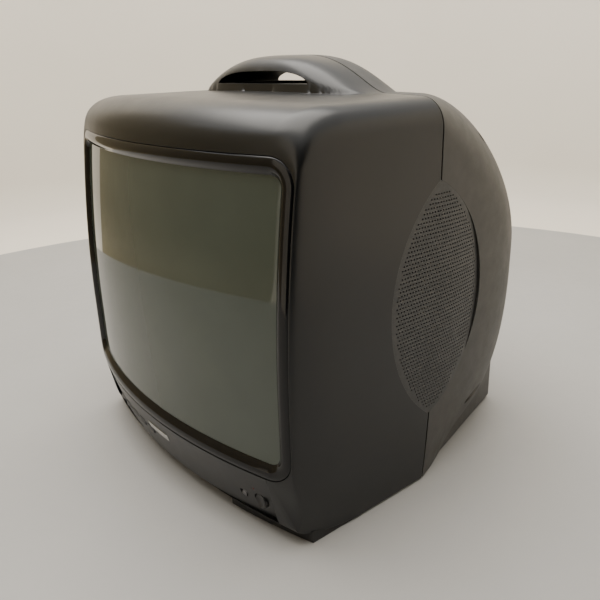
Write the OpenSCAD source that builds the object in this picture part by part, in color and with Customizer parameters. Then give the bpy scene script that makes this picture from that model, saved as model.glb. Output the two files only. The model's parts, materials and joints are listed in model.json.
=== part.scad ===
// Portable television with a 14-inch picture tube, side speakers and a handle
// moulded into the two cabinet shells. Millimetres, +Z up, front towards -Y.
// The origin is on the table, under the middle of the cabinet.

/* [Cabinet] */
// Width of the cabinet at the seam
body_w = 354; // [348:1:440]
// Height of the cabinet sides' top corners above the table
body_h = 339; // [325:1:420]
// Front of the screen to the seam between the shells
front_d = 180; // [170:1:230]
// Seam to the end of the rear dome
rear_d = 193; // [180:1:240]
// Wall of both shells
wall = 3; // [2.4:0.1:3.6]
// Corner radius at the top of the seam
top_r = 24; // [16:1:30]
// How far the rounded front edge reaches back
edge_d = 48; // [36:1:56]
// Crown of the top across the width
crown = 3; // [1:0.5:4]
// Gap between the table and the shells
foot_gap = 2; // [1.5:0.1:3]

/* [Screen] */
// Width of the window in the front shell
window_w = 342; // [310:1:342]
// Height of the window
window_h = 246; // [210:1:246]
// Lower edge of the window above the table
window_z = 63; // [60:1:66]
// Corner radius of the window
window_r = 22; // [16:1:30]
// Horizontal radius of the front face
face_r = 526; // [500:1:700]
// How far the top of the window leans back
face_lean = 14; // [8:1:18]
// Width of the glossy bezel between window and glass
bezel_w = 13; // [10:0.1:16]
// Depth of the glass behind the bezel's crest
glass_recess = 4; // [3:0.5:6]
// Thickness of the glass face
glass_t = 12; // [10:0.5:13]

/* [Handle] */
// Rise of the handle above the crown of the top
handle_rise = 30; // [28:0.5:34]
// Width of the finger tunnel
tunnel_w = 133; // [110:1:140]
// Thickness of the grip at its middle
grip_t = 13; // [12:0.5:15]
// Height of the slots in front of and behind the grip
slot_h = 10.5; // [9:0.5:12]
// Half the width of the handle's raised island at its foot
island_w = 117; // [105:1:125]
// Depth of the island in front of the seam
island_front = 42; // [36:1:46]
// Depth of the island behind the seam
island_rear = 38; // [34:1:44]

/* [Controls] */
// Width of the control strip under the window
strip_w = 294; // [290:1:300]
// Number of keys
key_count = 5; // [3:1:5]
// Width of one key
key_w = 12; // [9:0.1:15]
// Height of one key
key_h = 6; // [5:0.5:7]
// Distance between keys
key_pitch = 19.5; // [17:0.5:20]
// Travel of a key
key_travel = 1.2; // [0.8:0.1:1.5]
// Diameter of the power button
power_d = 13; // [10:0.5:14]
// Travel of the power button
power_travel = 3; // [2:0.5:3.5]
// Clearance all round a button
button_gap = 0.4; // [0.3:0.05:0.6]

/* [Speakers] */
// Height of the pointed speaker grille
grille_h = 206; // [170:1:212]
// Reach of the grille in front of the seam
grille_front = 52; // [40:1:56]
// Reach of the grille behind the seam
grille_rear = 66; // [50:1:68]
// How far the rear edge of the grille turns inwards
grille_turn = 7; // [4:0.5:9]
// Outside diameter of a loudspeaker
speaker_d = 77; // [64:1:86]

/* [Chassis] */
// Width of the main board
board_w = 228; // [190:1:232]
// Length of the main board
board_l = 222; // [190:1:230]
// Thickness of the boards
board_t = 1.6; // [1.2:0.1:2]
// Diameter of the picture tube's neck
neck_d = 29; // [22:0.5:32]

/* [Hidden] */
crest = 0.8;
rear_flat = 0.975;
seam_y = (front_d + crest - rear_flat * rear_d) / 2;
front_y = seam_y - front_d;
half_w = body_w / 2;
mid_z = body_h / 2;
dome_h = body_h - mid_z;
floor_z = foot_gap;
taper = 0.06;
plan_power = 3.8;
top_power = 2.6;
tuck_power = 2.2;
edge_power = 2.4;
corner_power = 2.2;
fit = 0.3;
window_half = window_w / 2;
window_top = window_z + window_h;
belly_z = 130;
chin_slope = 0.3;
tube_z = window_z + window_h / 2;
glass_half = window_half - bezel_w + 4;
glass_z0 = window_z + bezel_w - 4;
glass_z1 = window_top - bezel_w + 4;
key_z = window_z - 25;
key_x0 = -21;
power_x = 133;
power_z = window_z - 30;
grille_z = mid_z + 5;
chassis_z = floor_z + wall + 9;
chassis_y = seam_y + 5;
board_y0 = seam_y - 90;
handle_h = body_h + crown + handle_rise;
grip_z = handle_h - grip_t;
lip_z = grip_z - slot_h;
glass_g = 4 - bezel_w;
glass_r = window_r + glass_g;
box_end = rear_d - 16;
box_x0 = half_w - 9;
box_slope = 0.28;
box_top = 96;
box_end_y = seam_y + box_end;

function clamp01(t) = min(1, max(0, t));
function blend(a, b, t) = a + (b - a) * t;
function ease(t) = t * t * (3 - 2 * t);
function arch(s, p) = pow(max(0, 1 - pow(s, p)), 1 / p);

// Half width at the height z, which tucks in towards the floor by hb.
function tuck(z, hb) = z < mid_z ? arch((mid_z - z) / hb, tuck_power) : 1;

// Height of the handle's island above the top at x, y: an arch across the width
// on a flat oval plan with steep sides. Its inner skin is smaller in plan by t.
function island_d(x, y, t) = ((y < seam_y ? island_front : island_rear) - t)
    * sqrt(max(0, 1 - pow(abs(x) / (island_w - t), 5.3)));
function hump(x, y, t) =
    let (d = island_d(x, y, t), v = abs(y - seam_y),
         across = pow(max(0, 1 - pow(abs(x) / (island_w - t), 3)), 1.75))
    v >= d ? 0
    : handle_rise * across * (y < seam_y ? pow(1 - pow(v / d, 4.2), 0.4) : 1 - pow(v / d, 5));
function top_crown(x) = crown * max(0, 1 - pow(x / (half_w - top_r), 2));

// The front face: y at x, z. It bulges both ways and the chin below slopes back.
function face_y(x, z) = front_y + x * x / (2 * face_r)
    + (z > belly_z ? face_lean * pow((z - belly_z) / (window_top - belly_z), 2)
       : z < window_z ? (window_z - z) * chin_slope : 0);

// One outline around the cabinet is a list of x, z points with the same count
// everywhere: floor, lower corner, side, upper corner, top, then the mirror.
floor_n = 5;
low_n = 6;
side_n = 8;
high_n = 7;
top_n = 12;
half_n = floor_n + low_n + side_n + high_n + top_n;
function mirrored(half) = concat(half, [for (i = [half_n - 1:-1:1]) [-half[i][0], half[i][1]]]);

function window_half_line(g) =
    let (hw = window_half + g, z0 = window_z - g, z1 = window_top + g, r = window_r + g)
    concat(
        [for (i = [0:floor_n - 1]) [(hw - r) * i / floor_n, z0]],
        [for (i = [0:low_n - 1]) let (a = 90 * i / low_n)
            [hw - r + r * sin(a), z0 + r - r * cos(a)]],
        [for (i = [0:side_n - 1]) [hw, blend(z0 + r, z1 - r, i / side_n)]],
        [for (i = [0:high_n - 1]) let (a = 90 * i / high_n)
            [hw - r + r * cos(a), z1 - r + r * sin(a)]],
        [for (i = [0:top_n]) [(hw - r) * (1 - i / top_n), z1]]);

// An outline of the cabinet behind the rounded front edge: a is the half width,
// zt the top, rx and rz the upper corner, hb the tuck, zb the floor, t the wall.
function cabinet_half_line(a, zt, rx, rz, hb, zb, t) =
    let (xb = a * tuck(zb, hb) - t, knee = zb + 42)
    concat(
        [for (i = [0:floor_n - 1]) [xb * i / floor_n, zb + t]],
        [for (i = [0:low_n - 1]) let (z = blend(zb, knee, i / low_n))
            [a * tuck(z, hb) - t, max(z, zb + t)]],
        [for (i = [0:side_n - 1]) let (z = blend(knee, zt - rz, i / side_n))
            [a * tuck(z, hb) - t, z]],
        [for (i = [0:high_n - 1]) let (b = 90 * i / high_n)
            [a - rx + (rx - t) * pow(cos(b), 2 / corner_power),
             zt - rz + (rz - t) * pow(sin(b), 2 / corner_power)]],
        [for (i = [0:top_n]) [(a - rx) * (1 - i / top_n), zt - t]]);

function seam_half_line(t) =
    cabinet_half_line(half_w, body_h, top_r, top_r, 3.16 * mid_z, floor_z, t);

// Adds depth and the handle's hump to an outline at a constant y.
function at_y(line, y, fade, t) =
    [for (p = line) let (on_top = p[1] > mid_z ? 1 : 0)
        [p[0], y, p[1] + on_top * (fade * top_crown(p[0]) + hump(p[0], y, t))]];

// The chin's own profile: share of the way down, then depth behind the face.
chin = [[0, 0], [0.25, 4.6], [0.5, 9.2], [0.74, 13.6], [0.81, 18], [0.87, 27],
        [0.93, 42], [0.97, 58], [1, 75]];
edge_n = len(chin) - 1;
function chin_share(i) =
    let (k = min(i, 2 * half_n - i))
    k <= floor_n ? 1 : k >= floor_n + low_n ? 0 : 1 - ease((k - floor_n) / low_n);

function edge_point(w, s, i, j, t) =
    let (a = 90 * j / edge_n,
         k = chin_share(i),
         r = blend(pow(sin(a), 2 / edge_power), chin[j][0], k),
         d = blend((edge_d - t) * (1 - pow(cos(a), 2 / edge_power)), chin[j][1], k),
         x = blend(w[0], s[0], r),
         z = blend(w[1], s[1], r),
         y = face_y(w[0], w[1]) + d + t,
         up = s[1] > mid_z ? r : 0)
    [x, y, z + up * (top_crown(x) + hump(x, y, t))];

body_steps = [0.3, 0.55, 0.64, 0.67, 0.695, 0.72, 0.76, 0.81, 0.87, 0.94, 1];
function front_rings(t) =
    let (w = mirrored(window_half_line(0)), s = mirrored(seam_half_line(t)), n = len(w))
    concat(
        [for (j = [0:edge_n]) [for (i = [0:n - 1]) edge_point(w[i], s[i], i, j, t)]],
        [for (k = body_steps) [for (i = [0:n - 1])
            let (p = edge_point(w[i], s[i], i, edge_n, t),
                 y = blend(p[1], seam_y, k),
                 up = s[i][1] > mid_z ? 1 : 0)
            [s[i][0], y, s[i][1] + up * (top_crown(s[i][0]) + hump(s[i][0], y, t))]]]);

rear_steps = [0, 0.05, 0.1, 0.14, 0.17, 0.19, 0.21, 0.225, 0.25, 0.31, 0.4, 0.5, 0.6, 0.69, 0.77, 0.84, 0.9, 0.945, rear_flat];
function rear_half_line(s, t) =
    let (y = s * rear_d,
         a = (half_w - taper * y) * arch(s, plan_power),
         zt = mid_z + dome_h * arch(s, top_power),
         g = clamp01(1.3 * s),
         rx = blend(top_r, 0.85 * a, g),
         rz = blend(top_r, 0.85 * (zt - mid_z), g),
         hb = mid_z * (1.36 + 1.8 * exp(-y / 38)),
         zb = floor_z + 100 * pow(s, 8))
    cabinet_half_line(a, zt, rx, rz, hb, zb, t);
function rear_rings(t, last = rear_flat) =
    [for (s = rear_steps) let (q = min(s, last))
        at_y(mirrored(rear_half_line(q, t)), seam_y + q * rear_d - (q >= last ? t : 0),
             1 - ease(clamp01(s / 0.5)), t)];

// A solid between rings of points. With hollow rings it is a tube with walls,
// otherwise each end is closed by a fan about its own middle.
module skin(rings, hollow = []) {
    n = len(rings[0]);
    all = concat(rings, [for (i = [len(hollow) - 1:-1:0]) hollow[i]]);
    m = len(all);
    tube = len(hollow) > 0;
    mids = tube ? [] : [middle(rings[0]), middle(rings[m - 1])];
    points = concat([for (r = all) for (p = r) p], mids);
    sides = [for (j = [0:m - (tube ? 1 : 2)]) for (i = [0:n - 1])
        let (k = (j + 1) % m, q = (i + 1) % n)
        for (f = [[j * n + i, k * n + i, k * n + q], [j * n + i, k * n + q, j * n + q]]) f];
    ends = tube ? [] : [for (i = [0:n - 1]) let (q = (i + 1) % n)
        for (f = [[m * n, i, q], [m * n + 1, (m - 1) * n + q, (m - 1) * n + i]]) f];
    faces = concat(sides, ends);
    outside = six_volumes(points, faces) < 0;
    polyhedron(points, outside ? faces : [for (f = faces) [f[2], f[1], f[0]]]);
}
function six_volumes(points, faces) =
    [for (f = faces) points[f[0]] * cross(points[f[1]], points[f[2]])] * [for (f = faces) 1];
function total(ring, k) = [for (p = ring) p[k]] * [for (p = ring) 1];
function middle(ring) = [for (k = [0:2]) total(ring, k) / len(ring)];

module along_y(y0, y1) {
    translate([0, y1, 0]) rotate([90, 0, 0]) linear_extrude(y1 - y0) children();
}
module rod(x, z, d, y0, y1) {
    translate([x, y1, z]) rotate([90, 0, 0]) cylinder(d = d, h = y1 - y0, $fn = 48);
}
module box(x0, x1, y0, y1, z0, z1) {
    translate([x0, y0, z0]) cube([x1 - x0, y1 - y0, z1 - z0]);
}
module both_sides() {
    children();
    mirror([1, 0, 0]) children();
}

// ---- the cabinet shells ----
module front_outer() { skin(front_rings(0)); }

tunnel_half = tunnel_w / 2;
grip_wall = 2.5;
well_z = body_h - 1;
well_y0 = seam_y - 30;
well_y1 = seam_y + 30;
module tunnel_walls() {
    box(-tunnel_half - grip_wall, tunnel_half + grip_wall, seam_y - island_front, seam_y + island_rear,
        well_z - wall, grip_z + grip_wall);
}
// The slot's opening: a flat floor under an arched ceiling
function slot_line() = [for (i = [0:24]) let (v = cos(7.5 * i))
    [tunnel_half * v, lip_z + slot_h * pow(max(0, 1 - pow(abs(v), 3)), 0.6)]];
module tunnel() {
    along_y(seam_y - 2 * island_front, seam_y + 2 * island_rear) polygon(slot_line());
    box(6 - tunnel_half, tunnel_half - 6, well_y0, well_y1, well_z, lip_z + 1);
}

// The pointed oval of the speaker grille, as y limits at the height z.
function arc_r(sag) = (pow(grille_h / 2, 2) + sag * sag) / (2 * sag);
function arc_y(z, sag) = sqrt(max(0, pow(arc_r(sag), 2) - pow(z - grille_z, 2))) - arc_r(sag) + sag;
arc_steps = 28;
module grille_outline(g) {
    line = [for (i = [0:arc_steps]) grille_z + (grille_h / 2) * (2 * i / arc_steps - 1)];
    polygon(concat([for (z = line) [seam_y - arc_y(z, grille_front) - g, z]],
                   [for (i = [arc_steps:-1:0]) [seam_y + arc_y(line[i], grille_rear) + g, line[i]]]));
}
module grille_cut(g) {
    both_sides() translate([half_w - 40, 0, 0]) rotate([90, 0, 90]) linear_extrude(60) grille_outline(g);
}

strip_half = strip_w / 2;
strip_z0 = window_z - 47;
module strip_cut() {
    box(-strip_half - fit, strip_half + fit, front_y - 10, front_y + 55, strip_z0 - fit, window_z + 4);
}

boss_d = 10;
screw_d = 4;
pilot_d = screw_d + 0.2;
screw_head_d = 8;
pocket_d = 11;
sleeve_d = pocket_d + 2 * wall;
boss_x = half_w - 28;
boss_z = [floor_z + 42, body_h - 40];
boss_y = seam_y - 36;
screw_seat = seam_y + 12;
lug_x = window_half - 16;
lug_z = [window_z - 5, window_top + 5];
lug_y = front_y + face_lean + 36;
stay_y = seam_y - 57;
stay_z = [grille_z - 48, grille_z + 48];
module front_bosses() {
    both_sides() for (z = boss_z) {
        rod(boss_x, z, boss_d, boss_y, seam_y);
        box(boss_x, half_w - wall + 0.5, boss_y, seam_y, z - 1.5, z + 1.5);
    }
    both_sides() for (z = lug_z) rod(lug_x, z, boss_d, front_y, lug_y);
    both_sides() for (z = stay_z) rod_x(stay_y, z, boss_d, baffle_x + 2.5, half_w - wall + 0.5);
}

module front_shell() {
    color("#1c1c1d") difference() {
        union() {
            skin(front_rings(0), front_rings(wall));
            intersection() {
                front_outer();
                union() {
                    tunnel_walls();
                    front_bosses();
                }
            }
        }
        tunnel();
        strip_cut();
        grille_cut(fit);
        both_sides() for (z = boss_z) rod(boss_x, z, pilot_d, boss_y + 4, seam_y + 1);
        both_sides() for (z = lug_z) rod(lug_x, z, pilot_d, lug_y - 9, lug_y + 1);
    }
}

module box_plan(g) {
    x0 = box_x0 - g;
    x1 = box_x0 - box_slope * box_end - g;
    polygon([[-x0, seam_y - g], [x0, seam_y - g], [x1, box_end_y - g], [-x1, box_end_y - g]]);
}
module rear_outer() {
    skin(rear_rings(0));
    translate([0, 0, floor_z]) linear_extrude(box_top - floor_z) box_plan(0);
}
module rear_inner() {
    rings = rear_rings(wall, rear_flat - 0.01);
    skin(concat([[for (p = rings[0]) p - [0, 1, 0]]], rings));
    translate([0, 0, floor_z + wall]) linear_extrude(box_top - floor_z - 2 * wall) box_plan(wall);
}
module sleeves(d, y0, y1) { both_sides() for (z = boss_z) rod(boss_x, z, d, y0, y1); }

vent_rows = 3;
vent_cols = 11;
vent_w = 4;
vent_l = 22;
module vents() {
    for (c = [0:vent_cols - 1]) for (r = [0:vent_rows - 1])
        box((c - (vent_cols - 1) / 2) * 2.6 * vent_w - vent_w / 2,
            (c - (vent_cols - 1) / 2) * 2.6 * vent_w + vent_w / 2,
            seam_y + 0.6 * rear_d, seam_y + rear_d + 5,
            mid_z - 48 + r * 1.3 * vent_l, mid_z - 48 + r * 1.3 * vent_l + vent_l);
}

aerial_x = -78;
aerial_z = 50;
aerial_d = 13;
plug_d = 9.5;
av_x = -20;
av_w = 48;
av_h = 16;
gland_x = 84;
gland_z = 34;
gland_d = 12;
module socket_holes() {
    rod(aerial_x, aerial_z, aerial_d + 2 * fit, box_end_y - 2 * wall, box_end_y + 20);
    rod(gland_x, gland_z, gland_d, box_end_y - 2 * wall, box_end_y + 20);
    box(av_x - av_w / 2 - fit, av_x + av_w / 2 + fit, box_end_y - 2 * wall, box_end_y + 20,
        aerial_z - av_h / 2 - fit, aerial_z + av_h / 2 + fit);
}

module rear_shell() {
    color("#232324") difference() {
        union() {
            difference() {
                rear_outer();
                rear_inner();
            }
            intersection() {
                rear_outer();
                union() {
                    tunnel_walls();
                    sleeves(sleeve_d, seam_y, seam_y + rear_d);
                }
            }
        }
        tunnel();
        grille_cut(fit);
        sleeves(screw_d + 0.5, seam_y - 1, seam_y + rear_d);
        sleeves(pocket_d, screw_seat, seam_y + rear_d);
        vents();
        socket_holes();
    }
}

module shell_screws() {
    color("silver") both_sides() for (z = boss_z) {
        rod(boss_x, z, screw_d, boss_y + 12, screw_seat + 0.5);
        rod(boss_x, z, screw_head_d, screw_seat, screw_seat + 3);
    }
}

// ---- front furniture ----
// A dished plate behind the face: outline grown by g, set back by d.
dish_n = 6;
function dish_rings(g, d0, steps) =
    let (w = mirrored(window_half_line(g)), n = len(w))
    [for (k = [1:steps]) [for (i = [0:n - 1])
        let (x = w[i][0] * k / steps, z = tube_z + (w[i][1] - tube_z) * k / steps)
        [x, face_y(x, z) + d0, z]]];

skirt = 46;
module crt_faceplate() {
    front = dish_rings(glass_g, glass_recess, dish_n);
    back = dish_rings(glass_g - glass_t + 2, glass_recess + glass_t, dish_n);
    rim = [for (p = front[dish_n - 1]) [p[0], front_y + face_lean + skirt, p[2]]];
    rim_in = [for (p = back[dish_n - 1]) [p[0], front_y + face_lean + skirt, p[2]]];
    color("#4a524d") skin(concat(front, [rim, rim_in], [for (k = [dish_n - 1:-1:0]) back[k]]));
}

module screen_bezel() {
    w = mirrored(window_half_line(-fit));
    v = mirrored(window_half_line(-bezel_w));
    function lip(line, d) = [for (p = line) [p[0], face_y(p[0], p[1]) + d, p[1]]];
    function part(k, d) = [for (i = [0:len(w) - 1])
        let (x = blend(w[i][0], v[i][0], k), z = blend(w[i][1], v[i][1], k)) [x, face_y(x, z) + d, z]];
    color("#0b0c0d") skin([part(0, 0.4), part(0.15, -0.6), part(0.4, -crest), part(0.7, 0.6),
                           part(1, glass_recess - fit)], [part(0, 6), part(0.6, glass_recess - fit)]);
}

module control_strip() {
    cols = 20;
    rows = [0, 0.25, 0.5, 0.75, 1];
    function pt(c, r, d) = let (x = strip_half * (2 * c / cols - 1), z = blend(window_z - fit, strip_z0, r))
        [x, face_y(x, z) + d, z];
    ring = [for (c = [0:cols]) [for (r = rows) pt(c, r, 0)]];
    back = [for (c = [0:cols]) [for (r = rows) pt(c, r, wall)]];
    loops = [for (c = [0:cols]) concat(ring[c], [for (r = [len(rows) - 1:-1:0]) back[c][r]])];
    color("#19191a") difference() {
        union() {
            skin(loops);
            for (x = [board_x0 + 5, board_x1 - 5]) for (z = [key_z - 10, key_z + 10]) post(x, z, control_y);
            for (x = [power_x - 11, power_x + 11]) post(x, power_z, power_switch_y);
        }
        for (i = [0:key_count - 1]) key_hole(i);
        rod(power_x, power_z, power_d + 2 * button_gap, front_y - 5, front_y + 60);
        rod(lamp_x, lamp_z, lamp_d, front_y - 5, front_y + 60);
        eye_slot(0);
    }
}
module post(x, z, y) { rod(x, z, 5, face_y(x, z) + wall - 1, y); }
function key_x(i) = key_x0 - i * key_pitch;
function key_face(i) = face_y(key_x(i), key_z);
module key_hole(i) {
    g = button_gap;
    box(key_x(i) - key_w / 2 - g, key_x(i) + key_w / 2 + g, front_y - 5, front_y + 40,
        key_z - key_h / 2 - g, key_z + key_h / 2 + g);
}
lamp_x = power_x - 5;
lamp_z = power_z + 11;
lamp_d = 2.6;
eye_x = power_x - 19;
eye_w = 7;
module eye_slot(g) {
    box(eye_x - eye_w / 2 + g, eye_x + eye_w / 2 - g, front_y - 5, front_y + 60,
        power_z - 3 + g, power_z + 3 - g);
}

control_y = front_y + 30;
module key(i) {
    y = key_face(i);
    color("#101011") {
        box(key_x(i) - key_w / 2, key_x(i) + key_w / 2, y - 0.8, y + 5, key_z - key_h / 2, key_z + key_h / 2);
        box(key_x(i) - 2, key_x(i) + 2, y + 5, control_y - 4.6 - key_travel, key_z - 2, key_z + 2);
    }
}
power_y = face_y(power_x, power_z);
power_switch_y = power_y + 20;
module power_button() {
    color("#0d0d0e") {
        rod(power_x, power_z, power_d, power_y - 1.5, power_y + 7);
        rod(power_x, power_z, 5, power_y + 7, power_switch_y + 3);
    }
}
module power_spring() {
    color("silver") difference() {
        rod(power_x, power_z, 9, power_y + 7.5 + power_travel, power_switch_y);
        rod(power_x, power_z, 7, power_y, power_switch_y + 3);
    }
}
module power_switch() {
    color("#3a3a3c") difference() {
        union() {
            box(power_x - 8, power_x + 8, power_switch_y, power_switch_y + 26, power_z - 8, power_z + 9);
            box(power_x - 13.5, power_x + 13.5, power_switch_y, power_switch_y + 2, power_z - 6, power_z + 6);
        }
        rod(power_x, power_z, 5.6, power_switch_y - 1, power_switch_y + 3 + power_travel + 1);
    }
}
module lamp() {
    color("#7c2a24") rod(lamp_x, lamp_z, lamp_d - 0.2, face_y(lamp_x, lamp_z) - 0.2, face_y(lamp_x, lamp_z) + 8);
}
module remote_eye() {
    color("#2a0f12") intersection() {
        eye_slot(0.2);
        box(eye_x - 10, eye_x + 10, face_y(eye_x, power_z) + 0.3, face_y(eye_x, power_z) + 7,
            power_z - 10, power_z + 10);
    }
}
board_x0 = key_x(key_count - 1) - 14;
board_x1 = key_x0 + 22;
module key_board() {
    color("#7b6a3c") box(board_x0, board_x1, control_y, control_y + board_t, key_z - 14, key_z + 14);
}
module tact_switches() {
    color("#2b2b2d") for (i = [0:key_count - 1]) {
        box(key_x(i) - 3, key_x(i) + 3, control_y - 3.6, control_y, key_z - 3, key_z + 3);
        rod(key_x(i), key_z, 3, control_y - 4.2, control_y - 3.6);
    }
}
badge_w = 36;
badge_h = 7;
module badge() {
    cols = 8;
    function pt(c, z, d) = let (x = badge_w * (c / cols - 0.5)) [x, face_y(x, z) + d, z];
    z0 = window_z - 17 - badge_h / 2;
    loops = [for (c = [0:cols]) [pt(c, z0, -0.8), pt(c, z0 + badge_h, -0.8), pt(c, z0 + badge_h, -0.1), pt(c, z0, -0.1)]];
    color("#a9abae") skin(loops);
}

// ---- speakers ----
grille_rows = 26;
grille_cols = 7;
grille_t = 2.4;
function side_x(y, z) = half_w * tuck(z, 3.16 * mid_z) - 0.3
    - (y > seam_y ? grille_turn * pow((y - seam_y) / grille_rear, 2) : 0);
module grille() {
    loops = [for (r = [0:grille_rows])
        let (z = grille_z + (grille_h / 2 - 1) * (2 * r / grille_rows - 1),
             y0 = seam_y - arc_y(z, grille_front), y1 = seam_y + arc_y(z, grille_rear))
        concat([for (c = [0:grille_cols]) let (y = blend(y0, y1, c / grille_cols)) [side_x(y, z), y, z]],
               [for (c = [grille_cols:-1:0]) let (y = blend(y0, y1, c / grille_cols))
                   [side_x(y, z) - grille_t, y, z]])];
    color("#2a2b2c") skin(loops);
}
speaker_y = seam_y + 8;
speaker_x = half_w - 28;
module rod_x(y, z, d, x0, x1, d2 = 0) {
    translate([x0, y, z]) rotate([0, 90, 0]) cylinder(d1 = d, d2 = d2 > 0 ? d2 : d, h = x1 - x0, $fn = 64);
}
baffle_x = speaker_x + 8;
module baffle() {
    color("#303032") difference() {
        box(baffle_x, baffle_x + 2.5, seam_y - 63, seam_y + 50, grille_z - 56, grille_z + 56);
        rod_x(speaker_y, grille_z, speaker_d - 10, baffle_x - 1, baffle_x + 4);
        for (y = [-1, 1]) for (z = [-1, 1])
            rod_x(speaker_y + y * speaker_hole, grille_z + z * speaker_hole, 3.2, baffle_x - 1, baffle_x + 4);
    }
}
speaker_hole = speaker_d * 0.37;
module speaker_frame() {
    color("#6f7174") difference() {
        union() {
            rod_x(speaker_y, grille_z, speaker_d, baffle_x - 2, baffle_x);
            rod_x(speaker_y, grille_z, 44, baffle_x - 22, baffle_x - 2, speaker_d - 12);
        }
        rod_x(speaker_y, grille_z, 41, baffle_x - 20.5, baffle_x - 1.9, speaker_d - 15);
        rod_x(speaker_y, grille_z, speaker_d - 15, baffle_x - 2.1, baffle_x + 1);
        rod_x(speaker_y, grille_z, 20, baffle_x - 23, baffle_x - 20);
        for (y = [-1, 1]) for (z = [-1, 1])
            rod_x(speaker_y + y * speaker_hole * 0.98, grille_z + z * speaker_hole * 0.98, 2.6, baffle_x - 3, baffle_x + 1);
    }
}
module speaker_magnet() {
    color("#3c3c3e") difference() {
        rod_x(speaker_y, grille_z, 45, baffle_x - 36, baffle_x - 22);
        rod_x(speaker_y, grille_z, 20, baffle_x - 33, baffle_x - 21);
    }
}
module speaker_cone() {
    d = speaker_d - 16;
    color("#262626") {
        difference() {
            rod_x(speaker_y, grille_z, 19, baffle_x - 18, baffle_x - 1.5, d);
            rod_x(speaker_y, grille_z, 18, baffle_x - 17.2, baffle_x - 0.7, d);
        }
        rod_x(speaker_y, grille_z, 18, baffle_x - 31, baffle_x - 16);
    }
}

// ---- picture tube ----
neck_r = neck_d / 2;
funnel_y0 = front_y + face_lean + skirt;
yoke_y0 = seam_y - 28;
yoke_y1 = seam_y + 34;
neck_y1 = seam_y + 130;
yoke_r = 42;
function oval(hw, hh, p, n) = [for (i = [0:n - 1]) let (a = 360 * i / n)
    [hw * sign(sin(a)) * pow(abs(sin(a)), 2 / p), hh * -sign(cos(a)) * pow(abs(cos(a)), 2 / p)]];
function funnel_rings(t) = [for (k = [0:8])
    let (s = k / 8, y = blend(funnel_y0, yoke_y0 + 4, s), q = 1 - pow(s, 0.85),
         hw = blend(yoke_r - 6, glass_half - 6, q) - t, hh = blend(yoke_r - 6, (glass_z1 - glass_z0) / 2 - 6, q) - t)
    [for (p = oval(hw, hh, blend(2, 5, q), 40)) [p[0], y, tube_z + p[1]]]];
module crt_funnel() {
    color("#39403c") {
        skin(funnel_rings(0), funnel_rings(4));
        translate([0, yoke_y0 + 3, tube_z]) rotate([-90, 0, 0]) difference() {
            cylinder(r1 = yoke_r - 6, r2 = neck_r, h = yoke_y1 - yoke_y0 - 3, $fn = 64);
            translate([0, 0, -0.1]) cylinder(r1 = yoke_r - 9, r2 = neck_r - 2, h = yoke_y1 - yoke_y0 - 2.8, $fn = 64);
        }
    }
}
module crt_neck() {
    color("#59635e") difference() {
        rod(0, tube_z, neck_d, yoke_y1, neck_y1);
        rod(0, tube_z, neck_d - 4, yoke_y1 - 1, neck_y1 - 3);
    }
}
module electron_gun() {
    color("silver") {
        rod(0, tube_z, neck_d - 8, yoke_y1 + 18, neck_y1 - 12);
        rod(0, tube_z, 5, neck_y1 - 12, neck_y1 - 3);
    }
}
ring_t = 2;
band_y0 = funnel_y0 - 15;
module implosion_band() {
    color("#8d8f92") difference() {
        union() {
            along_y(band_y0, band_y0 + 13)
                rounded(glass_half + ring_t + 0.2, glass_z0 - ring_t - 0.2, glass_z1 + ring_t + 0.2, glass_r + ring_t);
            both_sides() box(lug_x - 7, lug_x + 6, lug_y, lug_y + 2, lug_z[0] - 6, glass_z0 + 6);
            both_sides() box(lug_x - 7, lug_x + 6, lug_y, lug_y + 2, glass_z1 - 6, lug_z[1] + 6);
        }
        along_y(funnel_y0 - 50, funnel_y0) rounded(glass_half + 0.2, glass_z0 - 0.2, glass_z1 + 0.2, glass_r);
        both_sides() for (z = lug_z) rod(lug_x, z, screw_d + 0.5, lug_y - 5, lug_y + 5);
    }
}
module rounded(hw, z0, z1, r) {
    difference() {
        translate([-hw, z0]) square([2 * hw, z1 - z0]);
        for (m = [0, 1]) mirror([m, 0]) for (c = [[z0, 1], [z1, -1]]) difference() {
            translate([hw - r, c[1] > 0 ? c[0] - 1 : c[0] - r]) square([r + 1, r + 1]);
            translate([hw - r, c[0] + c[1] * r]) circle(r, $fn = 48);
        }
    }
}
module tube_screws() {
    color("silver") both_sides() for (z = lug_z) {
        rod(lug_x, z, screw_d, lug_y - 8, lug_y + 2);
        rod(lug_x, z, screw_head_d, lug_y + 2, lug_y + 5);
    }
}
module deflection_coils() {
    color("#9a5a2c") difference() {
        translate([0, yoke_y0 + 5, tube_z]) rotate([-90, 0, 0]) cylinder(r1 = yoke_r + 6, r2 = neck_r + 9, h = 51, $fn = 72);
        translate([0, yoke_y0 + 4.5, tube_z]) rotate([-90, 0, 0])
            cylinder(r1 = yoke_r - 5, r2 = neck_r + 3.5, h = 52, $fn = 72);
    }
}
module yoke_core() {
    color("#2c2c2e") difference() {
        translate([0, yoke_y0 + 14, tube_z]) rotate([-90, 0, 0]) cylinder(r1 = yoke_r + 12, r2 = yoke_r - 2, h = 30, $fn = 72);
        translate([0, yoke_y0 + 5, tube_z]) rotate([-90, 0, 0]) cylinder(r1 = yoke_r + 6.3, r2 = neck_r + 9.3, h = 51, $fn = 72);
    }
}
clamp_y = yoke_y1 + 1;
module yoke_clamp() {
    color("silver") difference() {
        union() {
            rod(0, tube_z, neck_d + 9, clamp_y, clamp_y + 9);
            box(-5, 5, clamp_y, clamp_y + 9, tube_z + neck_r + 2, tube_z + neck_r + 14);
        }
        rod(0, tube_z, neck_d + 0.4, clamp_y - 7, clamp_y + 10);
        box(-1, 1, clamp_y - 1, clamp_y + 10, tube_z + neck_r - 2, tube_z + neck_r + 15);
    }
}
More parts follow.
